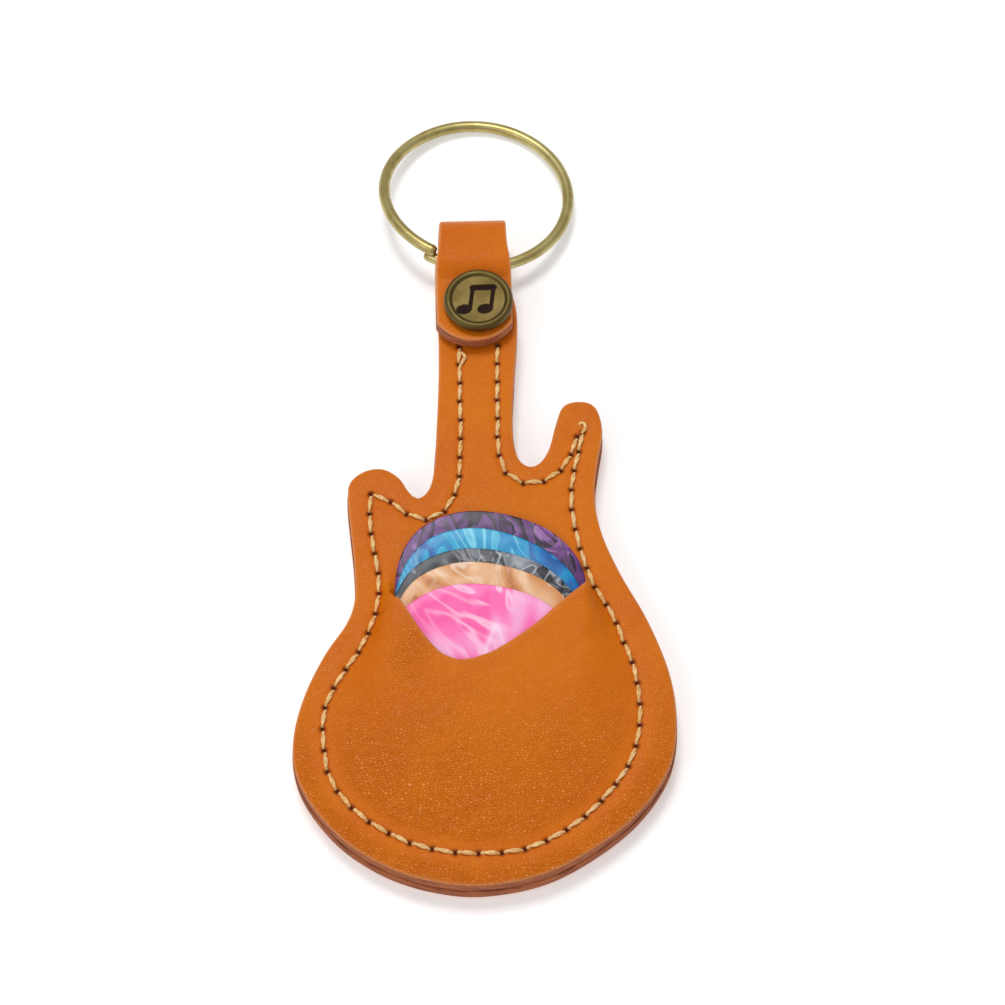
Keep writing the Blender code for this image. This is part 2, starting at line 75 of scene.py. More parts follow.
# Strap and snap
LOOP_X, LOOP_Y, LOOP_Z = 0.4, 94.7, 4.6
LOOP_INSIDE = 2.3
TAB_LOW_Z, TAB_HIGH_Z = 5.6, 6.9
TAB_SLOPE = (88.3, 91.5)
TAB_END_Y = 78.5
TAB_END_RADIUS = 6.2
TAB_HALF_WIDTH = 5.3
STRAP_HALF_WIDTH = 4.8
STRAP_ROUND = 0.36
TAB_WIDENS_OVER = 4.7
SNAP = (0.98, 84.2)
CAP_SEAT_Z = 8.05
CAP_HEIGHT = 1.7
CAP_DISH = 0.4
CAP_RIM_RADIUS = 4.27
ENGRAVED = 0.24

# Ring
WIRE_RADIUS = 0.82
RING_RADIUS = 13.5
RING_HINGE = (0.4, 92.3, 4.6)
RING_ENDS = (math.radians(-31), math.radians(335.5))
RING_LIFTS = (math.radians(210), math.radians(318))
RING_LIFT = 1.62
RING_LEAN = [math.radians(degrees) for degrees in (-7.9, 3.0, -2.8)]

# Picks
PICK_TILT = math.radians(6.3)
PICK_THICK = 0.42
PICK_LENGTH = 29.5
PICK_ROUND = 0.17
PICK_PITCH = 0.5
PICK_SEAT = (23.0, 2.5)
PICKS = {
    "purple": (4.4, 52.0, -15),
    "cyan": (5.8, 48.5, -23.5),
    "grey": (3.6, 46.3, -14),
    "tan": (3.7, 44.1, -15),
    "pink": (2.5, 41.1, -11),
}
PICK_HALF = [
    (0, 0), (4.6, -0.5), (8.2, -2), (11.1, -4.5), (12.5, -7.4), (12.9, -10.6),
    (12.3, -14.7), (10.3, -19.4), (7.5, -23.8), (4.4, -27.6), (2.2, -29.1),
]

# The front leather's outline, counter-clockwise from the left of the neck round the body
BODY_EDGE = [
    (-4.9, 73.8), (-5.3, 66), (-5.7, 60), (-6.5, 56.8), (-8, 55.5), (-9.3, 56.6),
    (-10.6, 58.7), (-12.8, 60.1), (-15.4, 59.8), (-17.4, 58), (-17.6, 55), (-17.2, 50.5),
    (-16.7, 45), (-16.7, 40.5), (-17.8, 37), (-20.6, 32.7), (-23.2, 27.2), (-24.7, 21.5),
    (-24.6, 16.5), (-22.6, 11.8), (-18.5, 6.8), (-13, 3), (-7, 0.8), (-0.5, 0),
    (7.5, 1.3), (14.5, 4.8), (20.5, 9.6), (24.6, 15.6), (25.8, 22), (25.2, 28.8),
    (22.7, 36.4), (19.3, 43.5), (17, 49.8), (16.3, 55.5), (17, 60.8), (17.8, 65.3),
    (17, 69), (14.9, 70), (12.5, 69.3), (11.3, 66.3), (10.3, 62.7), (8.9, 60.5),
    (7.4, 60), (6, 61.3), (5.4, 64.3), (5.4, 68.8), (5.8, 74.5),
]
NECK_TOP = [
    (6.3, 80), (6.4, 84.5), (5.7, 87.7), (3.6, 90.4), (0.9, 91.3), (-1.8, 90.4),
    (-4, 87.7), (-4.8, 84), (-4.8, 79.4),
]
# The sides of the back leaf, which goes on past the neck's top into the strap
STRAP_LEFT = [(-4.3, 94.6), (-4.4, 91), (-4.7, 86), (-4.8, 79.4)]
STRAP_RIGHT = [(6.1, 80), (6.1, 84), (5.5, 88.5), (5.15, 92), (5.1, 94.6)]

# The three runs of the seam
SEAM_NECK_LEFT = [
    (-1.85, 79.2), (-1.9, 75.2), (-1.9, 66), (-2.1, 60.3), (-2.6, 56.4), (-4.4, 53.2),
    (-6.2, 52.1), (-8, 52.1), (-10.2, 53.4), (-12, 55.1), (-14.4, 56.2),
]
SEAM_BODY = [
    (-14.4, 56.2), (-14.6, 52.4), (-14.2, 48), (-13.4, 43.5), (-13.6, 39.9), (-15, 34.9),
    (-17.8, 30.3), (-20.3, 25.7), (-20.9, 21), (-20, 15.2), (-17, 10.7), (-11.5, 6.8),
    (-5.6, 4.8), (0.5, 4.2), (6, 4.9), (11.4, 7.6), (16.5, 12.1), (19.9, 17.4),
    (21.1, 23.5), (20.5, 29.5), (18.4, 36), (16.4, 40.4), (15.4, 42.2), (14.2, 46.2),
    (13.2, 51.5), (13.2, 56.3), (13.8, 59.8), (14.6, 62.6), (15, 65),
]
SEAM_NECK_RIGHT = [
    (14.2, 64.4), (13.2, 61.4), (12, 59.4), (10, 57.8), (7.8, 57.2), (5.2, 58),
    (3.6, 60.4), (3.2, 64.5), (3.3, 70), (3.6, 79.2),
]
STITCH = 3.0
HOLE_RADIUS = 0.42
PLY_RADIUS = 0.185
PLY_TURNS = 0.75
THREAD_FROM_HOLE = 0.36

# Camera
CAMERA_AT = (-0.35, -102.02, 325.77)
CAMERA_TURN = (math.radians(26), 0, math.radians(-1.45))

# The mouth's edge, from the left end down to the bottom of the V and up to the right end
MOUTH = [
    (-10.8, 39.6), (-9.8, 38.2), (-8.9, 36.7), (-7.9, 35.1), (-6.6, 33.3), (-5.3, 31.85),
    (-4.3, 31.25), (-3.3, 30.85), (-2.2, 30.7), (-1, 30.85), (0, 31.15), (1.4, 31.6),
    (2.7, 32.25), (5.4, 33.95), (8.1, 35.9), (10.9, 38.3), (13.3, 40.2), (15.2, 41.6),
]


# ---------------------------------------------------------------- curves and distances

def smooth(points, closed=False, step=1.0):
    """Points along a Catmull-Rom curve through the given points, about one step apart."""
    given = [np.array(p, float) for p in points]
    count = len(given)
    if closed:
        around = [given[-1], *given, given[0], given[1]]
    else:
        around = [2 * given[0] - given[1], *given, 2 * given[-1] - given[-2]]
    out = []
    for i in range(count if closed else count - 1):
        a, b, c, d = around[i : i + 4]
        steps = max(1, round(float(np.linalg.norm(c - b)) / step))
        for s in range(steps):
            t = s / steps
            out.append(
                0.5 * (2 * b + (c - a) * t + (2 * a - 5 * b + 4 * c - d) * t**2
                       + (3 * b - a - 3 * c + d) * t**3)
            )
    if not closed:
        out.append(given[-1])
    return np.array(out)


def evenly(points, step):
    """A polyline's points and directions at even distances along it."""
    points = np.array(points, float)
    length = np.r_[0, np.cumsum(np.linalg.norm(np.diff(points, axis=0), axis=1))]
    count = max(1, round(length[-1] / step))
    at = np.linspace(0, length[-1], count + 1)
    out = np.stack([np.interp(at, length, points[:, k]) for k in range(points.shape[1])], axis=1)
    along = np.gradient(out, axis=0)
    return out, along / np.linalg.norm(along, axis=1)[:, None]


def distance_to(lines):
    """A function of an array of points: how far each is from the nearest of the open lines."""
    starts = np.concatenate([np.array(line)[:-1] for line in lines])
    along = np.concatenate([np.diff(np.array(line), axis=0) for line in lines])
    square = np.maximum((along**2).sum(axis=1), 1e-12)

    def distance(points):
        out = np.empty(len(points))
        for begin in range(0, len(points), 2000):
            some = points[begin : begin + 2000]
            apart = some[:, None] - starts[None]
            t = np.clip((apart * along[None]).sum(axis=2) / square[None], 0, 1)
            out[begin : begin + 2000] = np.linalg.norm(
                apart - along[None] * t[..., None], axis=2
            ).min(axis=1)
        return out

    return distance


def ring_of(loop):
    """A closed loop as an open line that ends where it starts."""
    return np.vstack([loop, loop[:1]])


def inside(loop, points):
    """Which of the points lie inside a loop."""
    a = np.array(loop, float)
    b = np.roll(a, -1, axis=0)
    x, y = points[:, 0][:, None], points[:, 1][:, None]
    spans = (a[:, 1] > y) != (b[:, 1] > y)
    rise = np.where(b[:, 1] == a[:, 1], 1, b[:, 1] - a[:, 1])
    crossing = a[:, 0] + (y - a[:, 1]) * (b[:, 0] - a[:, 0]) / rise
    return ((crossing > x) & spans).sum(axis=1) % 2 == 1


def offset(loop, shift):
    """A counter-clockwise loop moved outwards by shift."""
    points = np.array(loop, float)
    along = np.roll(points, -1, axis=0) - np.roll(points, 1, axis=0)
    along /= np.linalg.norm(along, axis=1)[:, None]
    return points + shift * np.stack([along[:, 1], -along[:, 0]], axis=1)


def ease(t):
    """A smooth step: 0 up to t = 0, 1 from t = 1 on."""
    t = np.clip(t, 0, 1)
    return t * t * (3 - 2 * t)


def bulge(t):
    """A quarter round: 0 at t = 0 rising steeply, 1 from t = 1 on."""
    t = np.clip(t, 0, 1)
    return np.sqrt(1 - (1 - t) ** 2)


# ---------------------------------------------------------------- meshes

def piece(name, points, faces, materials, slots=None, smooth_angle=40):
    """A mesh object from points in millimetres on the holder's centre lines."""
    mesh = bpy.data.meshes.new(name)
    shift = np.array([MIDDLE[0], MIDDLE[1], 0])
    mesh.from_pydata(((np.array(points, float) - shift) * MM).tolist(), [], faces)
    for made in materials:
        mesh.materials.append(made)
    if slots is not None:
        mesh.polygons.foreach_set("material_index", slots)
    mesh.shade_smooth()
    mesh.set_sharp_from_angle(angle=math.radians(smooth_angle))
    mesh.validate()
    made = bpy.data.objects.new(name, mesh)
    bpy.context.scene.collection.objects.link(made)
    return made


def paint(made, name, values):
    """A float attribute on the piece's points, read by its material."""
    layer = made.data.attributes.new(name, "FLOAT", "POINT")
    layer.data.foreach_set("value", np.array(values, np.float32))


def plate(loops, lines, fill, extra=(), hole=None):
    """Triangles inside the first loop, with the other loops, lines and points as vertices.

    Returns the points, the triangles and the rim's edges.
    """
    points, edges = [], []
    for loop in loops:
        start = len(points)
        points += [tuple(p) for p in loop]
        edges += [(start + i, start + (i + 1) % len(loop)) for i in range(len(loop))]
    for line in lines:
        start = len(points)
        points += [tuple(p) for p in line]
        edges += [(start + i, start + i + 1) for i in range(len(line) - 1)]
    low, high = np.min(loops[0], axis=0), np.max(loops[0], axis=0)
    xs = np.arange(low[0] + fill / 2, high[0], fill)
    ys = np.arange(low[1] + fill / 2, high[1], fill * 0.866)
    grid = np.array([(x + (fill / 2 if k % 2 else 0), y) for k, y in enumerate(ys) for x in xs])
    near = distance_to([*(ring_of(loop) for loop in loops), *lines])
    keep = inside(loops[0], grid) & (near(grid) > fill * 0.45)
    if len(extra):
        extra = np.array(extra)
        far = np.min(np.linalg.norm(grid[:, None] - extra[None], axis=2), axis=1) > fill * 0.35
        keep &= far
        good = inside(loops[0], extra) & (near(extra) > 0.05)
        points += [tuple(p) for p in extra[good]]
    points += [tuple(p) for p in grid[keep]]
    flat, _, triangles, *_ = delaunay_2d_cdt(
        [Vector((float(x), float(y))) for x, y in points], edges, [], 0, 1e-4
    )
    flat = np.array([(p.x, p.y) for p in flat])
    triangles = np.array([tuple(t) for t in triangles])
    middle = flat[triangles].mean(axis=1)
    wanted = inside(loops[0], middle)
    if hole is not None:
        wanted &= ~inside(hole, middle)
    triangles = triangles[wanted]
    a, b, c = (flat[triangles[:, k]] for k in range(3))
    turn = (b - a)[:, 0] * (c - a)[:, 1] - (b - a)[:, 1] * (c - a)[:, 0]
    triangles[turn < 0] = triangles[turn < 0][:, ::-1]
    used = np.unique(triangles)
    index = np.full(len(flat), -1)
    index[used] = np.arange(len(used))
    triangles = index[triangles]
    directed = {(int(t[k]), int(t[(k + 1) % 3])) for t in triangles for k in range(3)}
    rim = sorted((p, q) for p, q in directed if (q, p) not in directed)
    return flat[used], triangles, rim


def thick(flat, triangles, rim, top, bottom, wall_rows=1):
    """Points, faces and material slots (0 top, 1 edge, 2 bottom) of a plate with two faces."""
    count = len(flat)
    points = [np.c_[flat, top], np.c_[flat, bottom]]
    faces = triangles.tolist() + (triangles[:, ::-1] + count).tolist()
    slots = [0] * len(triangles) + [2] * len(triangles)
    rim_points = sorted({i for edge in rim for i in edge})
    row = {i: k for k, i in enumerate(rim_points)}
    total = 2 * count
    rows = []
    for step in range(1, wall_rows):
        t = step / wall_rows
        rows.append(total)
        at = np.array(rim_points)
        points.append(np.c_[flat[at], top[at] * (1 - t) + bottom[at] * t])
        total += len(rim_points)
    for a, b in rim:
        up = [(a, b)] + [(start + row[a], start + row[b]) for start in rows]
        up.append((a + count, b + count))
        for (p, q), (r, s) in zip(up, up[1:]):
            faces.append((p, r, s, q))
            slots.append(1)
    return np.concatenate(points), faces, slots


def strand(path, radius, sides=8, taper=None):
    """Points and faces of a round strand along a 3-D path with closed ends."""
    path = np.array(path, float)
    along = np.gradient(path, axis=0)
    along /= np.linalg.norm(along, axis=1)[:, None]
    normal = np.array([0.0, 0.0, 1.0])
    points, faces = [], []
    for i, (at, way) in enumerate(zip(path, along)):
        normal = normal - way * (normal @ way)
        if np.linalg.norm(normal) < 1e-3:
            normal = np.cross(way, [1.0, 0.0, 0.0])
        normal /= np.linalg.norm(normal)
        side = np.cross(way, normal)
        r = radius if taper is None else radius * taper[i]
        for k in range(sides):
            angle = math.tau * k / sides
            points.append(at + r * (side * math.cos(angle) + normal * math.sin(angle)))
    for i in range(len(path) - 1):
        for k in range(sides):
            a, b = i * sides + k, i * sides + (k + 1) % sides
            faces.append((a, b, b + sides, a + sides))
    faces.append(tuple(reversed(range(sides))))
    faces.append(tuple(range((len(path) - 1) * sides, len(path) * sides)))
    return points, faces


def join(parts):
    """Several (points, faces) as one."""
    points, faces = [], []
    for some, their in parts:
        start = len(points)
        points += list(some)
        faces += [tuple(i + start for i in face) for face in their]
    return points, faces


def lathe(profile, centre, turns):
    """Points and faces of a profile of (radius, height) turned about an upright axis."""
    points, faces = [], []
    angles = np.arange(turns) * math.tau / turns
    rings = []
    for radius, height in profile:
        rings.append(len(points))
        for angle in angles:
            x, y = radius * math.cos(angle), radius * math.sin(angle)
            points.append((centre[0] + x, centre[1] + y, height))
    for low, high in zip(rings, rings[1:]):
        for k in range(turns):
            j = (k + 1) % turns
            faces.append((low + k, low + j, high + j, high + k))
    return points, faces


# ---------------------------------------------------------------- materials

class Nodes:
    """A small help for writing a procedural material."""

    def __init__(self, name):
        self.material = bpy.data.materials.new(name)
        self.material.use_nodes = True
        self.tree = self.material.node_tree
        self.shader = self.tree.nodes["Principled BSDF"]
        self.place = self.new("ShaderNodeTexCoord").outputs["Object"]

    def new(self, kind, **settings):
        node = self.tree.nodes.new(kind)
        for key, value in settings.items():
            setattr(node, key, value)
        return node

    def feed(self, socket, value):
        if isinstance(value, bpy.types.NodeSocket):
            self.tree.links.new(value, socket)
        else:
            socket.default_value = value

    def set(self, **values):
        names = {"colour": "Base Color", "roughness": "Roughness", "metal": "Metallic",
                 "normal": "Normal", "specular": "Specular IOR Level", "coat": "Coat Weight",
                 "coat_roughness": "Coat Roughness", "sheen": "Sheen Weight",
                 "sheen_roughness": "Sheen Roughness"}
        for key, value in values.items():
            if key == "colour" and isinstance(value, tuple):
                value = (*value[:3], 1)
            self.feed(self.shader.inputs[names[key]], value)

    def scaled(self, scale, turn=(0, 0, 0), place=None):
        node = self.new("ShaderNodeMapping")
        self.feed(node.inputs["Vector"], self.place if place is None else place)
        node.inputs["Scale"].default_value = scale
        node.inputs["Rotation"].default_value = turn
        return node.outputs["Vector"]

    def noise(self, scale, detail=3.0, roughness=0.5, distortion=0.0, place=None, out="Fac"):
        node = self.new("ShaderNodeTexNoise")
        self.feed(node.inputs["Vector"], self.place if place is None else place)
        node.inputs["Scale"].default_value = scale
        node.inputs["Detail"].default_value = detail
        node.inputs["Roughness"].default_value = roughness
        node.inputs["Distortion"].default_value = distortion
        return node.outputs[out]

    def cells(self, scale, place):
        """How far a point is from the nearest edge between cells."""
        node = self.new("ShaderNodeTexVoronoi", feature="DISTANCE_TO_EDGE")
        self.feed(node.inputs["Vector"], place)
        node.inputs["Scale"].default_value = scale
        return node.outputs["Distance"]

    def ramp(self, value, stops):
        node = self.new("ShaderNodeValToRGB")
        elements = node.color_ramp.elements
        while len(elements) < len(stops):
            elements.new(0.5)
        for element, (at, colour) in zip(elements, stops):
            element.position = at
            element.color = (*colour, 1)
        self.feed(node.inputs["Fac"], value)
        return node.outputs["Color"]

    def mix(self, factor, a, b):
        """Two colours mixed; 6, 7 and 2 are the node's sockets for colours."""
        node = self.new("ShaderNodeMix", data_type="RGBA")
        node.clamp_factor = True
        self.feed(node.inputs["Factor"], factor)
        for key, value in ((6, a), (7, b)):
            if isinstance(value, tuple):
                value = (*value[:3], 1)
            self.feed(node.inputs[key], value)
        return node.outputs[2]

    def math(self, operation, a, b=0.0):
        node = self.new("ShaderNodeMath", operation=operation)
        self.feed(node.inputs[0], a)
        self.feed(node.inputs[1], b)
        return node.outputs[0]

    def range(self, value, low, high, to_low=0.0, to_high=1.0):
        node = self.new("ShaderNodeMapRange", interpolation_type="SMOOTHSTEP")
        self.feed(node.inputs["Value"], value)
        for key, number in (("From Min", low), ("From Max", high),
                            ("To Min", to_low), ("To Max", to_high)):
            node.inputs[key].default_value = number
        return node.outputs["Result"]

    def attribute(self, name):
        return self.new("ShaderNodeAttribute", attribute_name=name).outputs["Fac"]

    def bump(self, height, strength, distance, normal=None):
        node = self.new("ShaderNodeBump")
        node.inputs["Strength"].default_value = strength
        node.inputs["Distance"].default_value = distance
        self.feed(node.inputs["Height"], height)
        if normal is not None:
            self.feed(node.inputs["Normal"], normal)
        return node.outputs["Normal"]


def srgb(red, green, blue):
    """A screen colour, 0 to 255, as the linear colour a shader takes."""
    return tuple(((c / 255 + 0.055) / 1.055) ** 2.4 if c > 10 else c / 255 / 12.92
                 for c in (red, green, blue))


def grain_leather():
    """The smooth orange-tan face of the leather, with its pores and creases, its wear, painted shade
    in the pebbles' hollows and the stitch holes, and painted highlights on the pebbles' tops and the
    strap's fold.
    """
    n = Nodes("grain_leather")
    mottle = n.noise(90, 3, 0.55)
    fine = n.noise(1300, 3, 0.65)
    colour = n.mix(n.range(mottle, 0.3, 0.7), srgb(203, 100, 0), srgb(213, 112, 3))
    colour = n.mix(n.math("MULTIPLY", n.range(fine, 0.45, 0.8), 0.3), colour, srgb(220, 126, 26))
    pebbles = n.scaled((1, 1.5, 1))
    warp = n.new("ShaderNodeVectorMath", operation="MULTIPLY_ADD")
    n.feed(warp.inputs[0], n.noise(700, 2, 0.5, place=pebbles, out="Color"))
    warp.inputs[1].default_value = (0.0006, 0.0006, 0.0006)
    n.feed(warp.inputs[2], pebbles)
    from_edge = n.cells(2100, warp.outputs[0])
    pebble = n.range(from_edge, 0.0, 0.2)
    wrinkle = n.attribute("wrinkle")
    depth = n.math("ADD", n.math("MULTIPLY", wrinkle, 0.7), 0.3)
    # Painted shade: the hollows between the pebbles are darkened, more so on the wrinkled lower
    # grain
    pit_shade = n.math("MULTIPLY", n.math("SUBTRACT", 1.0, pebble), depth)
    colour = n.mix(n.math("MULTIPLY", pit_shade, 0.12), colour, srgb(164, 76, 8))
    # Painted highlight: the pebbles' tops on the wrinkled grain are lightened into glints
    painted_glints = n.math("MULTIPLY", n.range(from_edge, 0.26, 0.5), wrinkle)
    colour = n.mix(n.math("MULTIPLY", painted_glints, 0.85), colour, srgb(238, 164, 104))
    # Real wear along the edges and the mouth's lip, with a painted highlight across the top of the
    # strap's fold
    colour = n.mix(n.math("MULTIPLY", n.attribute("wear_and_highlight"), 0.9), colour, srgb(222, 150, 96))
    # Painted shade: the stitch holes are darkened, standing for the shade inside them
    dark = n.attribute("dark")
    colour = n.mix(n.math("MULTIPLY", dark, 0.97), colour, srgb(86, 28, 12))
    folds = n.noise(420, 3, 0.6, 0.5, n.scaled((1, 2.6, 1), (0, 0, 0.12)))
    folds = n.math("MULTIPLY", folds, wrinkle)
    soft = n.noise(300, 2, 0.5)
    bumps = n.bump(soft, 0.3, 0.00025)
    bumps = n.bump(folds, 0.7, 0.0005, bumps)
    bumps = n.bump(n.math("MULTIPLY", pebble, depth), 0.7, 0.00013, bumps)
    rough = n.range(mottle, 0.3, 0.7, 0.36, 0.46)
    n.set(colour=colour, roughness=rough, specular=0.15, normal=bumps)
    return n.material


def edge_leather(name, light, dark):
    """The cut edge: matt, fibrous, in fine layers along the cut."""
    n = Nodes(name)
    layers = n.noise(700, 4, 0.65, 0.3, n.scaled((0.5, 0.5, 3.2)))
    fibres = n.noise(3000, 2, 0.7)
    colour = n.mix(n.range(layers, 0.32, 0.7), dark, light)
    colour = n.mix(n.math("MULTIPLY", n.range(fibres, 0.5, 0.8), 0.3), colour,
                   tuple(min(1, c * 1.35 + 0.01) for c in light))
    bumps = n.bump(layers, 0.5, 0.00015)
    bumps = n.bump(fibres, 0.35, 0.00008, bumps)
    n.set(colour=colour, roughness=0.72, specular=0.25, normal=bumps)
    return n.material


def flesh_leather():
    """The rough inner face of the leather."""
    n = Nodes("flesh_leather")
    nap = n.noise(1500, 4, 0.7)
    cloud = n.noise(150, 3, 0.5)
    colour = n.mix(cloud, srgb(186, 122, 72), srgb(214, 156, 104))
    colour = n.mix(n.math("MULTIPLY", n.range(nap, 0.4, 0.7), 0.4), colour, srgb(150, 92, 50))
    n.set(colour=colour, roughness=0.9, specular=0.15, sheen=0.25, sheen_roughness=0.5,
          normal=n.bump(nap, 0.6, 0.00018))
    return n.material


def thread_material():
    """Sand-coloured waxed thread."""
    n = Nodes("waxed_thread")
    fibres = n.noise(2200, 3, 0.7, 0.4)
    cloud = n.noise(110, 2, 0.5)
    colour = n.mix(n.range(fibres, 0.35, 0.7), srgb(214, 160, 86), srgb(252, 216, 150))
    colour = n.mix(n.math("MULTIPLY", n.range(cloud, 0.45, 0.7), 0.45), colour,
                   srgb(232, 200, 152))
    n.set(colour=colour, roughness=0.62, specular=0.35, sheen=0.2, sheen_roughness=0.4,
          normal=n.bump(fibres, 0.4, 0.00008))
    return n.material


def brass_material(name="antique_brass", engraved=False):
    """Olive antique brass, darker where it has tarnished, with fine wear."""
    n = Nodes(name)
    cloud = n.noise(260, 4, 0.6)
    brushed = n.noise(900, 3, 0.6, 0.2)
    colour = n.mix(n.range(cloud, 0.35, 0.68), srgb(166, 150, 92), srgb(194, 180, 122))
    colour = n.mix(n.math("MULTIPLY", n.range(brushed, 0.5, 0.75), 0.3), colour,
                   srgb(204, 192, 142))
    rough = n.range(cloud, 0.3, 0.7, 0.46, 0.36)
    if engraved:
        colour = n.mix(0.9, colour, srgb(88, 72, 36))
        rough = n.math("ADD", rough, 0.08)
        deep = n.attribute("deep")
        colour = n.mix(deep, colour, srgb(60, 42, 40))
        rough = n.math("ADD", rough, n.math("MULTIPLY", deep, 0.3))
    n.set(colour=colour, roughness=rough, metal=1.0, normal=n.bump(brushed, 0.05, 0.00004))
    return n.material


def steel_material():
    """The bright wire of the snap's spring."""
    n = Nodes("spring_steel")
    cloud = n.noise(500, 3, 0.6)
    colour = n.mix(cloud, srgb(150, 150, 152), srgb(190, 190, 192))
    n.set(colour=colour, roughness=0.28, metal=1.0)
    return n.material


def pearl(name, stops, size, folds, cloud, soft, seed, turn, stretch=0.6):
    """Marbled celluloid: pearly sheets that fade one way and break sharply the other.

    Stops are the ramp's colours, size is the marbling's scale, folds how often the sheets repeat,
    cloud the share of broad clouds and soft the share of sheets that fade both ways. Seed moves
    the marbling, turn turns it and stretch flattens it.
    """
    n = Nodes(name)
    moved = n.new("ShaderNodeVectorMath", operation="ADD")
    n.feed(moved.inputs[0], n.place)
    moved.inputs[1].default_value = (seed, seed * 0.7, 0)
    flow = n.scaled((1, stretch, 1), (0, 0, turn), moved.outputs[0])
    sheets = n.noise(size, 1.5, 0.4, 0.9, flow)
    wound = n.math("MULTIPLY", sheets, folds)
    rolls = n.math("MULTIPLY", n.math("PINGPONG", wound, 0.5), 2.0)
    breaks = n.math("ADD", n.math("MULTIPLY", n.math("FRACT", wound), 1 - soft),
                    n.math("MULTIPLY", rolls, soft))
    crossing = n.noise(size * 1.4, 2, 0.5, 1.5, n.scaled((stretch, 1, 1), (0, 0, 1.1), flow))
    ridges = n.math("FRACT", n.math("MULTIPLY", crossing, folds * 0.7))
    broad = n.noise(size * 0.45, 1, 0.4, 0.4, flow)
    value = n.math("ADD", n.math("MULTIPLY", breaks, 1 - cloud), n.math("MULTIPLY", broad, cloud))
    share = 0.24 * (1 - soft)
    value = n.math("ADD", n.math("MULTIPLY", value, 1 - share), n.math("MULTIPLY", ridges, share))
    colour = n.ramp(value, stops)
    middle = n.math("ABSOLUTE", n.math("SUBTRACT", crossing, 0.52))
    vein = n.math("MULTIPLY", n.range(middle, 0.0, 0.05, 0.6, 0.0), n.range(broad, 0.42, 0.66))
    colour = n.mix(vein, colour, stops[-1][1])
    n.set(colour=colour, roughness=0.3, specular=0.16, coat=0.05, coat_roughness=0.08,
          normal=n.bump(value, 0.12, 0.0004))
    return n.material


# ---------------------------------------------------------------- the seam and the picks' places

seams = [smooth(run, step=0.6) for run in (SEAM_NECK_LEFT, SEAM_BODY, SEAM_NECK_RIGHT)]
chance = random.Random(7)
stitches = []
holes = []
for run in seams:
    knots, ways = evenly(run, STITCH)
    for k, (knot, way) in enumerate(zip(knots, ways)):
        side = np.array([-way[1], way[0]])
        knots[k] = knot + side * chance.uniform(-0.09, 0.09)
    holes += [tuple(k) for k in knots]
    stitches.append(knots)
holes = np.array(holes)


def near_hole(points):
    """How far each point is from the nearest stitch hole."""
    out = np.full(len(points), 99.0)
    for begin in range(0, len(points), 4000):
        some = points[begin : begin + 4000]
        out[begin : begin + 4000] = np.linalg.norm(some[:, None] - holes[None], axis=2).min(axis=1)
    return out


def hole_points():
    """Rings of points that give the mesh its detail round each stitch hole."""
    out = []
    for hole in holes:
        out.append(hole)
        for radius, count in ((0.2, 6), (HOLE_RADIUS, 9), (0.72, 12)):
            for k in range(count):
                angle = math.tau * (k + 0.5 * (count % 2)) / count
                out.append(hole + radius * np.array([math.cos(angle), math.sin(angle)]))
    return np.array(out)


seam_distance = distance_to(seams)


def pick_plane(layer):
    """The height of a pick's underside as a function of y."""
    rise = math.tan(PICK_TILT)
    lift = layer * PICK_PITCH / math.cos(PICK_TILT)
    return lambda y: PICK_SEAT[1] + lift + (y - PICK_SEAT[0]) * rise


def pick_outline(step):
    """A pick's outline, with the middle of its broad end at the origin and its tip at -y."""
    right = PICK_HALF[:0:-1]
    left = [(-x, y) for x, y in PICK_HALF[1:]]
    return smooth([(0, -PICK_LENGTH), *right, (0, 0), *left], True, step)


def pick_matrix(layer, x, y, turn):
    """A pick's rotation and place."""
    tilt = Matrix.Rotation(PICK_TILT, 3, "X") @ Matrix.Rotation(math.radians(turn), 3, "Z")
    return np.array(tilt), np.array([x, y, pick_plane(layer)(y)])


def pick_footprints():
    """Each pick's outline as it lies, seen from above."""
    out = []
    flat = pick_outline(1.0)
    for layer, (x, y, turn) in enumerate(PICKS.values()):
        rotation, place = pick_matrix(layer, x, y, turn)
        out.append((np.c_[flat, np.zeros(len(flat))] @ rotation.T + place)[:, :2])
    return out


footprints = pick_footprints()


def beside(loop, points):
    """How far each point is outside a loop, and 0 for the points in it."""
    return np.where(inside(loop, points), 0, distance_to([ring_of(loop)])(points))


def pick_top(layer):
    """The height of a pick's top face as a function of y."""
    under = pick_plane(layer)
    return lambda y: under(y) + PICK_THICK / math.cos(PICK_TILT)


def cover_height(points):
    """The height of the picks' top faces, falling away steeply beside each pick."""
    best = np.full(len(points), -9.0)
    for layer, loop in enumerate(footprints):
        best = np.maximum(best, pick_top(layer)(points[:, 1]) - beside(loop, points) * 4.0)
    return best


# ---------------------------------------------------------------- leather

grain = grain_leather()
cut_edge = edge_leather("cut_edge", srgb(182, 104, 58), srgb(128, 64, 36))
strap_edge = edge_leather("strap_edge", srgb(190, 120, 80), srgb(134, 72, 46))
strap_side = edge_leather("strap_side", srgb(226, 162, 118), srgb(184, 112, 70))
flesh = flesh_leather()

mouth = evenly(smooth(MOUTH, step=0.4), 0.5)[0]
mouth_distance = distance_to([mouth])


def mouth_side(points):
    """Signed distance from the mouth line, continued straight beyond its ends: above is positive."""
    first = mouth[0] + (mouth[0] - mouth[1]) * 30
    last = mouth[-1] + (mouth[-1] - mouth[-2]) * 30
    line = np.vstack([[first], mouth, [last]])
    away = distance_to([line])(points)
    above = points[:, 1] > np.interp(points[:, 0], line[:, 0], line[:, 1])
    return np.where(above, away, -away)


def beyond_mouth(points):
    """How far a point is past either end of the mouth, across the holder."""
    left = np.maximum(mouth[0][0] - points[:, 0], 0)
    right = np.maximum(points[:, 0] - mouth[-1][0], 0)
    return left + right


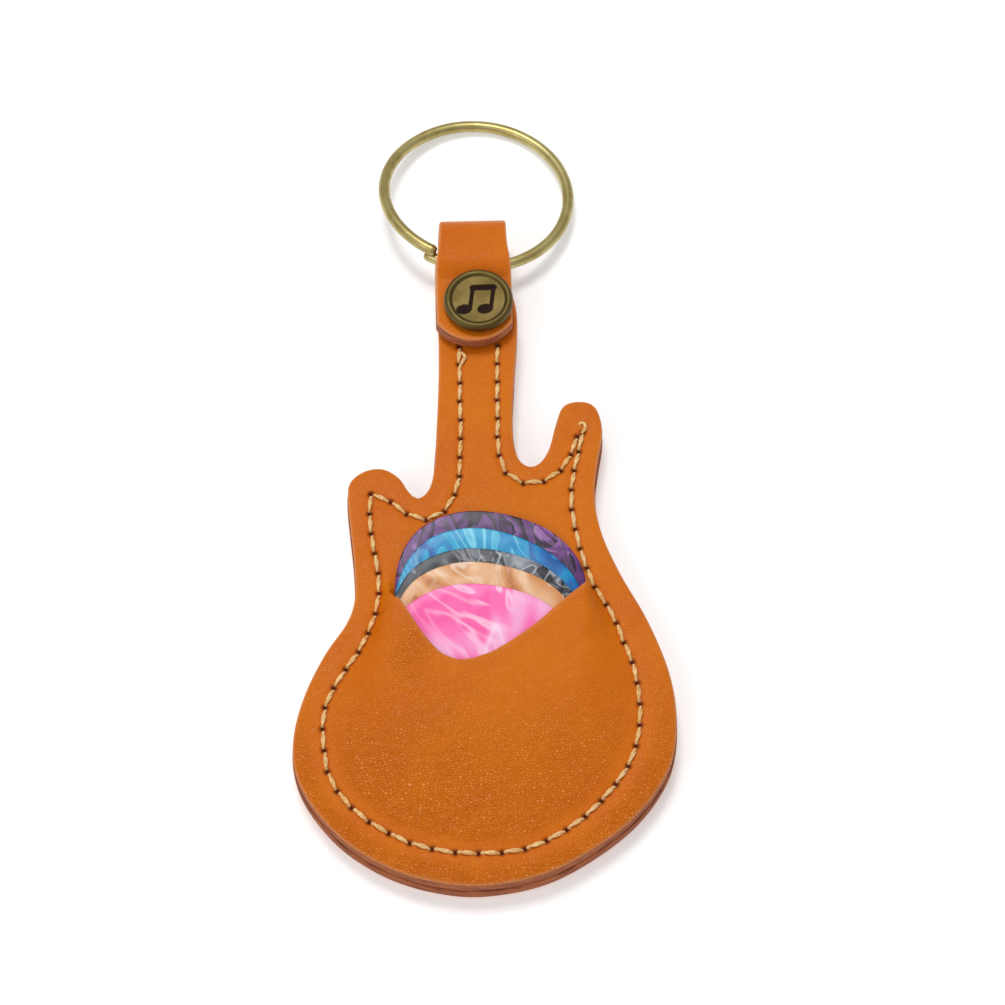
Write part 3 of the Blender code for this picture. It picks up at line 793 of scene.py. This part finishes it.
def front_leather():
    """The front leather: raised over the picks, slit along the mouth and sunk above it."""
    loop = smooth(BODY_EDGE + NECK_TOP, closed=True, step=0.7)
    upper = mouth[1:-1] + np.array([0, MOUTH_SLIT])
    hole = np.vstack([mouth, upper[::-1]])
    loops = [loop, *(offset(loop, -d) for d in (0.08, 0.22, ROUND)), hole]
    lips = [mouth[1:-1] - np.array([0, shift]) for shift in (0.12, 0.3)]
    flat, triangles, rim = plate(loops, lips, 0.62, hole_points(), hole)
    edge = distance_to([ring_of(loop)])(flat)
    near_seam = seam_distance(flat)
    hole_near = near_hole(flat)
    lip_near = mouth_distance(flat)
    side = mouth_side(flat)
    past = beyond_mouth(flat)

    # The flap is 1 below the mouth and 0 above it, and fades from one to the other past its ends
    flap = ease(0.5 - side / np.maximum(2 * past * FLAP_BLEND, 0.02))
    on_slit = np.abs(side) < 0.004
    flap = np.where(on_slit & (past < 0.02), 1, flap)
    upper_rim = np.zeros(len(flat), bool)
    for p in upper:
        upper_rim |= np.linalg.norm(flat - p, axis=1) < 1e-3
    flap = np.where(upper_rim, 0, flap)

    inner = inside(ring_of(seams[1]), flat)
    away = np.min([beside(shape, flat) for shape in footprints], axis=0)
    crown = pick_top(len(PICKS) - 1)(flat[:, 1]) + FLAP_OVER_PICKS
    lifted = np.log1p(np.exp((crown - FRONT_TOP - 0.15) / 0.5)) * 0.5
    room = np.maximum(near_seam - 0.4, 0.001)
    rise = lifted * ease(room / (room + away * 0.9)) * inner * flap
    under_picks = np.minimum(pick_plane(0)(flat[:, 1]) - UNDER_PICKS, FRONT_TOP)
    sink = (FRONT_TOP - under_picks) * ease(1 - away) * (1 - flap)
    top = FRONT_TOP + rise - sink
    top -= SEAM_PRESS * ease(1 - near_seam)
    top -= HOLE_DEPTH * ease(1 - hole_near / 0.45)
    top -= ROUND * (1 - bulge(edge / ROUND))
    top -= MOUTH_ROUND * (1 - bulge(lip_near / 0.25)) * (flap > 0.5) * (past < 0.02)

    bottom = np.full(len(flat), FRONT_BOTTOM)
    in_pocket = inner & (flap > 0.5) & (near_seam > 0.8)
    roof = np.minimum(cover_height(flat), top - 0.5)
    bottom = np.where(in_pocket, np.maximum(bottom, roof), bottom)
    bottom = np.minimum(bottom, top - THINNEST)
    bottom = np.where(edge < 0.5, FRONT_BOTTOM, bottom)
    points, faces, slots = thick(flat, triangles, rim, top, bottom, 2)
    made = piece("leather_front", points, faces, [grain, cut_edge, flesh], slots)

    # Where the stitch holes get painted shade, where the grain is worn along the edges and the
    # mouth's lip, and where it is wrinkled, which also gets painted glints on the pebbles
    dark = ease(1 - (hole_near - 0.3) / 0.26)
    wear_and_highlight = ease(1 - edge / 0.45) * 0.6 + ease(1 - lip_near / 0.35) * 0.5 * (flap > 0.5)
    lower = ease((34 - flat[:, 1]) / 24) * ease((near_seam - 0.8) / 2)
    corner = ease(1 - np.hypot((flat[:, 0] + 9.5) / 5, (flat[:, 1] - 32) / 7)) * inner
    wrinkle = np.clip(lower * 0.8 + corner * 0.6, 0, 1)
    for key, values in (("dark", dark), ("wear_and_highlight", wear_and_highlight), ("wrinkle", wrinkle)):
        paint(made, key, np.r_[values, np.zeros(len(points) - len(values))])
    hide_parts("front_panel")
    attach(made, "holder")


def back_leather():
    """The back leather with the strap's back leaf, its grain side down and grooved for the seam."""
    body = smooth(BODY_EDGE, step=0.7)
    body = offset(body, (BACK_LIP * ease((69 - body[:, 1]) / 8))[:, None])
    left, right = smooth(STRAP_LEFT, step=0.7), smooth(STRAP_RIGHT, step=0.7)
    loop = np.vstack([left[:-1], body, right[1:]])
    rings = [offset(loop, -d) for d in (0.1, ROUND)]
    flat, triangles, rim = plate([loop], [r[3:-3] for r in rings], 0.8, hole_points())
    open_edge = distance_to([loop])(flat)
    near_seam = seam_distance(flat)
    hole_near = near_hole(flat)
    snap_near = np.linalg.norm(flat - np.array(SNAP), axis=1)
    bottom = ROUND * (1 - bulge(open_edge / ROUND))
    bottom += SEAM_GROOVE * ease(1 - (near_seam - 0.2) / 0.8)
    bottom += HOLE_DEPTH * ease(1 - hole_near / 0.5)
    bottom = np.where(snap_near < 3.5, 0.5, bottom)
    top = np.full(len(flat), BACK_TOP) - 0.2 * (1 - bulge(open_edge / 0.25))
    points, faces, slots = thick(flat, triangles, rim, top, bottom, 2)
    near_rim = [open_edge[list(face)].max() < 1.4 for face in triangles]
    slots = [1 if near else 2 for near in near_rim] + [0] * len(triangles) + [1] * (
        len(faces) - 2 * len(triangles)
    )
    made = piece("leather_back", points, faces, [grain, cut_edge, flesh], slots)
    count = len(flat)
    # Painted shade round the stitch holes on the grain face underneath
    dark = np.zeros(len(points))
    dark[count : 2 * count] = ease(1 - (hole_near - 0.1) / 0.4)
    paint(made, "dark", dark)
    wear_and_highlight = np.zeros(len(points))
    wear_and_highlight[count : 2 * count] = ease(1 - open_edge / 0.45) * 0.6
    paint(made, "wear_and_highlight", wear_and_highlight)
    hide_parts("back_panel")
    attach(made, "holder")


def strap_centre():
    """The strap's middle line from the back leaf round the fold to the tab's end, as (y, z)."""
    middle = LOOP_INSIDE + LEATHER / 2
    fold = [(LOOP_Y + middle * math.cos(a), LOOP_Z + middle * math.sin(a))
            for a in np.linspace(-math.pi / 2, math.pi / 2, 40)]
    low_y, high_y = TAB_SLOPE
    tab = []
    for y in np.arange(LOOP_Y - 0.3, TAB_END_Y - 0.01, -0.3):
        rise = float(ease((y - low_y) / (high_y - low_y)))
        tab.append((y, TAB_LOW_Z + (TAB_HIGH_Z - TAB_LOW_Z) * rise + LEATHER / 2))
    tab.append((TAB_END_Y, TAB_LOW_Z + LEATHER / 2))
    return np.array(fold + tab)


def strap():
    """One strip of leather, made flat (x across, y along, z through) and bent round the fold."""
    line = strap_centre()
    along = np.r_[0, np.cumsum(np.linalg.norm(np.diff(line, axis=0), axis=1))]
    length = along[-1]
    end_centre = length - TAB_END_RADIUS
    reach = math.asin(TAB_HALF_WIDTH / TAB_END_RADIUS)
    end = [(TAB_END_RADIUS * math.sin(a), end_centre + TAB_END_RADIUS * math.cos(a))
           for a in np.linspace(reach, -reach, 25)]
    fold_end = (LOOP_INSIDE + LEATHER / 2) * math.pi
    right = smooth([(STRAP_HALF_WIDTH, 0), (STRAP_HALF_WIDTH, fold_end),
                    (TAB_HALF_WIDTH, fold_end + TAB_WIDENS_OVER), end[0]], step=0.5)
    left = [(-x, s) for x, s in right[::-1]]
    loop = np.vstack([right[:-1], end, left[1:]])
    rings = [offset(loop, -d) for d in (0.06, 0.18, STRAP_ROUND)]
    flat, triangles, rim = plate([loop], [r[2:-2] for r in rings], 0.5)
    open_edge = distance_to([loop])(flat)
    outer = LEATHER / 2 - STRAP_ROUND * (1 - bulge(open_edge / STRAP_ROUND))
    inner = -LEATHER / 2 + 0.15 * (1 - bulge(open_edge / 0.2))
    points, faces, slots = thick(flat, triangles, rim, outer, inner, 3)
    low = 0.5 - points[:, 2] / LEATHER
    points[:, 0] -= np.where(points[:, 0] < -3, 0.24, 0) * low
    slots = [3 if slot == 1 and points[list(face), 1].max() < end_centre else slot
             for face, slot in zip(faces, slots)]
    s = np.clip(points[:, 1], 0, length)
    y, z = np.interp(s, along, line[:, 0]), np.interp(s, along, line[:, 1])
    way = np.gradient(line, axis=0)
    way /= np.linalg.norm(way, axis=1)[:, None]
    wy, wz = np.interp(s, along, way[:, 0]), np.interp(s, along, way[:, 1])
    size = np.hypot(wy, wz)
    wy, wz = wy / size, wz / size
    bent = np.c_[LOOP_X + points[:, 0], y + wz * points[:, 2], z - wy * points[:, 2]]
    made = piece("leather_strap", bent, faces, [grain, strap_edge, flesh, strap_side], slots)
    count = len(flat)
    wear_and_highlight = np.zeros(len(points))
    wear_and_highlight[:count] = ease(1 - open_edge / 0.4) * 0.8
    # Painted highlight: a lighter band across the top of the fold, where its highlight falls
    painted_fold_highlight = np.clip(1 - np.abs(flat[:, 1] - fold_end * 0.69) / 1.3, 0, 1) * 0.9
    wear_and_highlight[:count] = np.maximum(wear_and_highlight[:count], painted_fold_highlight)
    paint(made, "wear_and_highlight", wear_and_highlight)
    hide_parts("strap_bend", "strap_tab")
    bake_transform(made)
    flip_if_inward(made)


def flip_if_inward(made):
    """Turn the faces of a closed mesh outwards."""
    mesh = made.data
    volume = 0.0
    for polygon in mesh.polygons:
        a = mesh.vertices[polygon.vertices[0]].co
        for k in range(1, len(polygon.vertices) - 1):
            b = mesh.vertices[polygon.vertices[k]].co
            c = mesh.vertices[polygon.vertices[k + 1]].co
            volume += a.dot(b.cross(c))
    if volume < 0:
        mesh.flip_normals()


# ---------------------------------------------------------------- thread

def stitch_strands(a, b, base, up):
    """Two plies twisted round each other from hole a to hole b, arched over the leather."""
    a, b = np.array(a), np.array(b)
    way = (b - a) / np.linalg.norm(b - a)
    side = np.array([-way[1], way[0]])
    slant = side * 0.07
    a, b = a + way * THREAD_FROM_HOLE + slant, b - way * THREAD_FROM_HOLE - slant
    steps = 13
    parts = []
    for ply in (0, math.pi):
        path, taper = [], []
        for k in range(steps):
            t = k / (steps - 1)
            arch = math.sin(math.pi * t) ** 0.4 * 0.42 - 0.22
            full = min(1.0, math.sin(math.pi * (0.05 + 0.9 * t)) * 2.2)
            turn = ply + 0.6 + t * math.tau * PLY_TURNS
            at = a + (b - a) * t + side * math.cos(turn) * 0.13 * full
            path.append((at[0], at[1], base + up * (arch + math.sin(turn) * 0.1 * full)))
            taper.append(0.82 + 0.18 * full)
        parts.append(strand(path, PLY_RADIUS, 8, taper))
    return join(parts)


def stitch_runs(name, base, up, nodes):
    """All the stitches of one side, at a base height and arched up (1) or down (-1)."""
    parts = []
    for knots in stitches:
        parts += [stitch_strands(a, b, base, up) for a, b in zip(knots, knots[1:])]
    points, faces = join(parts)
    made = piece(name, points, faces, [thread_finish], smooth_angle=80)
    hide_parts(*nodes)
    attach(made, "holder")


def loose_end(name, node, path):
    """The short end of a thread past its last hole."""
    line = smooth(path, step=0.18)
    taper = [1.0] * (len(line) - 2) + [0.8, 0.4]
    points, faces = strand(line, 0.24, 8, taper)
    made = piece(name, points, faces, [thread_finish], smooth_angle=80)
    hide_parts(node)
    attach(made, "holder")


# ---------------------------------------------------------------- snap, ring, picks

def note_depth(x, y):
    """How deep the cap's engraved pair of notes is at a point, from 0 to 1."""
    def head(cx, cy):
        a = math.radians(20)
        u = (x - cx) * math.cos(a) + (y - cy) * math.sin(a)
        v = -(x - cx) * math.sin(a) + (y - cy) * math.cos(a)
        return (np.hypot(u / 0.9, v / 0.62) - 1) * 0.66

    def bar(ax, ay, bx, by, half):
        d = np.array([bx - ax, by - ay])
        t = np.clip(((x - ax) * d[0] + (y - ay) * d[1]) / (d @ d), 0, 1)
        return np.hypot(x - ax - t * d[0], y - ay - t * d[1]) - half

    shape = np.minimum.reduce([
        head(-1.25, -1.65), head(1.35, -1.25),
        bar(-0.55, -1.5, -0.55, 1.75, 0.17), bar(2.05, -1.1, 2.05, 2.15, 0.17),
        bar(-0.5, 1.6, 2.0, 2.0, 0.36),
    ])
    return ease(0.5 - shape / 0.16)


def snap_cap():
    """The snap's cap: a dish with a round rim and an engraving, on a post through the tab."""
    top = CAP_SEAT_Z + CAP_HEIGHT
    rings = [(0.001, top - CAP_DISH)]
    rings += [(r, top - CAP_DISH) for r in np.arange(0.1, 3.7, 0.085)]
    rings += [(3.78, top - 0.36), (3.86, top - 0.26)]
    for angle in np.linspace(138, -90, 24):
        a = math.radians(angle)
        rings.append((CAP_RIM_RADIUS + 0.62 * math.cos(a), top - 0.8 + 0.8 * math.sin(a)))
    rings += [(3.2, CAP_SEAT_Z + 0.05), (1.3, CAP_SEAT_Z + 0.05)]
    rings += [(1.3, 5.9), (1.9, 5.8), (1.9, 5.72), (0.001, 5.72)]
    points, faces = lathe(rings, SNAP, 176)
    points = np.array(points)
    u, v = points[:, 0] - SNAP[0], points[:, 1] - SNAP[1]
    turn = math.radians(-8)
    x = (u * math.cos(turn) + v * math.sin(turn)) / 1.12 + 0.35
    y = (v * math.cos(turn) - u * math.sin(turn)) / 1.12
    deep = note_depth(x, y) * (points[:, 2] > top - 0.6) * (np.hypot(u, v) < 3.75)
    points[:, 2] -= deep * ENGRAVED
    made = piece("cap", points, [tuple(reversed(f)) for f in faces], [brass_engraved])
    paint(made, "deep", deep)
    flip_if_inward(made)
    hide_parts("snap_cap")
    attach(made, "strap")


def key_ring():
    """The ring: one turn of wire that climbs over its own start."""
    x_lean, y_lean, z_lean = RING_LEAN
    turn = Matrix.Rotation(z_lean, 3, "Z") @ Matrix.Rotation(x_lean, 3, "X")
    turn = np.array(turn @ Matrix.Rotation(y_lean, 3, "Y"))
    low, high = RING_LIFTS
    path = []
    for angle in np.linspace(*RING_ENDS, 260):
        lift = RING_LIFT * float(ease((angle - low) / (high - low)))
        flat = np.array([RING_RADIUS * math.sin(angle), RING_RADIUS * (1 - math.cos(angle)), lift])
        path.append(turn @ flat + np.array(RING_HINGE))
    taper = np.ones(len(path))
    taper[0], taper[1] = 0.75, 0.93
    taper[-1], taper[-2] = 0.72, 0.92
    points, faces = strand(path, WIRE_RADIUS, 20, taper)
    made = piece("ring_wire", points, faces, [brass], smooth_angle=50)
    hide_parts("key_ring")
    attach(made, "ring")


def pick_finishes():
    """The five celluloids, each with four colours from its shade to its light."""
    return {
        "purple": pearl("pearl_purple", [
            (0.25, srgb(34, 22, 40)), (0.48, srgb(62, 36, 76)), (0.64, srgb(112, 60, 134)),
            (0.84, srgb(204, 156, 212)),
        ], size=230, folds=4.5, cloud=0.3, soft=0.25, seed=0.031, turn=0.3),
        "cyan": pearl("pearl_cyan", [
            (0.2, srgb(0, 78, 150)), (0.45, srgb(4, 112, 184)), (0.66, srgb(22, 164, 206)),
            (0.88, srgb(150, 236, 246)),
        ], size=150, folds=3.5, cloud=0.35, soft=0.4, seed=0.077, turn=0.9, stretch=0.4),
        "grey": pearl("pearl_grey", [
            (0.3, srgb(24, 24, 32)), (0.55, srgb(52, 54, 64)), (0.66, srgb(104, 108, 118)),
            (0.86, srgb(206, 210, 216)),
        ], size=200, folds=4.0, cloud=0.4, soft=0.4, seed=0.0132, turn=0.2),
        "tan": pearl("pearl_tan", [
            (0.15, srgb(176, 98, 38)), (0.42, srgb(210, 142, 82)), (0.62, srgb(226, 176, 130)),
            (0.9, srgb(248, 228, 206)),
        ], size=150, folds=3.0, cloud=0.35, soft=0.55, seed=0.041, turn=0.8),
        "pink": pearl("pearl_pink", [
            (0.15, srgb(246, 80, 160)), (0.5, srgb(250, 112, 182)), (0.74, srgb(246, 168, 214)),
            (0.95, srgb(255, 230, 246)),
        ], size=110, folds=2.4, cloud=0.4, soft=1.0, seed=0.0925, turn=0.5),
    }


def picks():
    """Five plates with rounded edges, stacked and fanned."""
    finishes = pick_finishes()
    loop = pick_outline(0.5)
    rings = [offset(loop, -d) for d in (0.04, 0.1, PICK_ROUND)]
    flat, triangles, rim = plate([loop, *rings], [], 1.6)
    edge = distance_to([ring_of(loop)])(flat)
    curve = 0.14 * (1 - bulge(edge / PICK_ROUND))
    points, faces, _ = thick(flat, triangles, rim, PICK_THICK - curve, curve)
    for layer, (colour, (x, y, turn)) in enumerate(PICKS.items()):
        rotation, place = pick_matrix(layer, x, y, turn)
        lying = points @ rotation.T + place
        made = piece(f"celluloid_{colour}", lying, faces, [finishes[colour]], smooth_angle=60)
        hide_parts(f"pick_{colour}")
        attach(made, f"{colour}_pick")


# ---------------------------------------------------------------- set

def stage_set():
    """The camera at the photograph's angle, a white floor, a key and a fill light."""
    scene = bpy.context.scene
    scene.view_settings.view_transform = "Standard"
    camera = bpy.data.cameras.new("camera")
    camera.lens = 93.13
    camera.sensor_width = 36
    camera.clip_start = 0.01
    holder = bpy.data.objects.new("camera", camera)
    x, y, z = CAMERA_AT
    holder.location = ((x - MIDDLE[0]) * MM, (y - MIDDLE[1]) * MM, z * MM)
    holder.rotation_euler = CAMERA_TURN
    scene.collection.objects.link(holder)
    scene.camera = holder

    n = Nodes("floor")
    n.set(colour=(0.86, 0.86, 0.86), roughness=0.9, specular=0.0)
    n.shader.inputs["Emission Color"].default_value = (1, 1, 1, 1)
    n.shader.inputs["Emission Strength"].default_value = 0.28
    mesh = bpy.data.meshes.new("floor")
    reach = 3
    corners = [(-reach, -reach), (reach, -reach), (reach, reach), (-reach, reach)]
    mesh.from_pydata([(x, y, -0.2 * MM) for x, y in corners], [], [(0, 1, 2, 3)])
    mesh.materials.append(n.material)
    floor = bpy.data.objects.new("floor", mesh)
    scene.collection.objects.link(floor)

    world = bpy.data.worlds.new("world")
    scene.world = world
    world.use_nodes = True
    background = world.node_tree.nodes["Background"]
    background.inputs["Color"].default_value = (1, 1, 1, 1)
    background.inputs["Strength"].default_value = 0.5
    for name, place, size, power in (
        ("key", (-0.06, 0.24, 0.7), 0.2, 2.3),
        ("fill", (-0.4, -0.3, 0.5), 0.4, 0.9),
    ):
        light = bpy.data.lights.new(name, "AREA")
        light.size = size
        light.energy = power
        lamp = bpy.data.objects.new(name, light)
        lamp.location = place
        lamp.rotation_euler = Vector(place).to_track_quat("Z", "Y").to_euler()
        scene.collection.objects.link(lamp)


# ---------------------------------------------------------------- the whole

thread_finish = thread_material()
brass = brass_material()
brass_engraved = brass_material("engraved_brass", engraved=True)
steel = steel_material()

stage_set()
front_leather()
back_leather()
strap()
stitch_runs("stitches_front", FRONT_TOP - 0.02, 1, ["front_thread_body", "front_thread_neck"])
stitch_runs("stitches_back", 0.5, -1, ["back_thread_body", "back_thread_neck"])
loose_end("thread_end_at_neck", "thread_end_neck", [
    (-1.9, 75.8, 4.7), (-1.4, 76.6, 5.2), (-1.1, 77.3, 5.15), (-1.6, 77.9, 5.2), (-2.3, 77.7, 5.0),
])
loose_end("thread_end_at_horn", "thread_end_horn", [
    (14.9, 64.9, 4.8), (15.4, 65.5, 5.2), (15.3, 66.2, 5.2), (14.8, 66.4, 5.0), (14.6, 66.0, 4.9),
])
snap_cap()
key_ring()
picks()

# The inner snap parts keep their CAD meshes
for name, finish in (("snap_socket", brass), ("snap_stud", brass), ("snap_eyelet", brass),
                     ("snap_spring", steel)):
    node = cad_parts[name]
    node.data.materials.clear()
    node.data.materials.append(finish)
